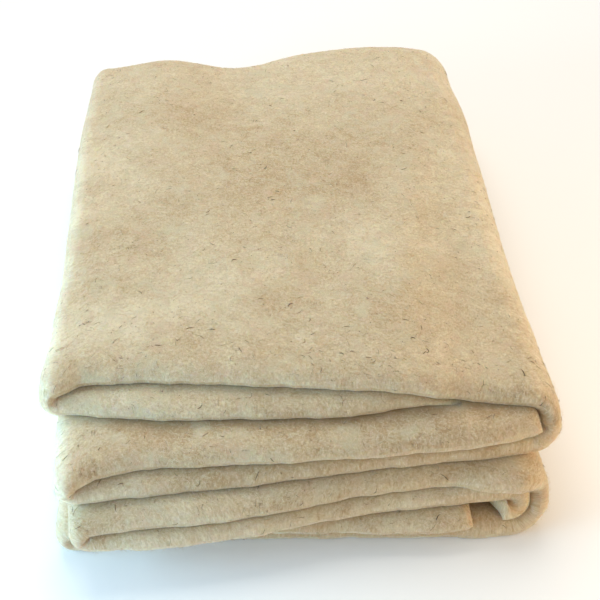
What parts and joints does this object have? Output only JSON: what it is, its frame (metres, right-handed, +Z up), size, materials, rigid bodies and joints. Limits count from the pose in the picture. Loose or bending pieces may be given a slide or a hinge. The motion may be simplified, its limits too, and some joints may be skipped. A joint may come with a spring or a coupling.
{
  "type": "folded wool weed barrier fleece",
  "caption": "Cut length of thick cream wool weed barrier felt, its side flaps folded in and the strip folded over into a flat rectangular pack with the cut edges at the front.",
  "frame": {"origin": "on the surface the pack rests on, under the middle of its outer box", "axes": "+X across the pack towards its smooth folded spine, +Y from the cut front edges back to the last fold, +Z up through the plies"},
  "size_m": [0.269, 0.4346, 0.0807],
  "materials": {
    "felt": "thick needled wool felt, matte and fibrous, mottled cream, tan and grey with fine dark hairs and specks of plant matter"
  },
  "bodies": {
    "root": {"folded_felt_sheet": "felt"}
  },
  "joints": []
}
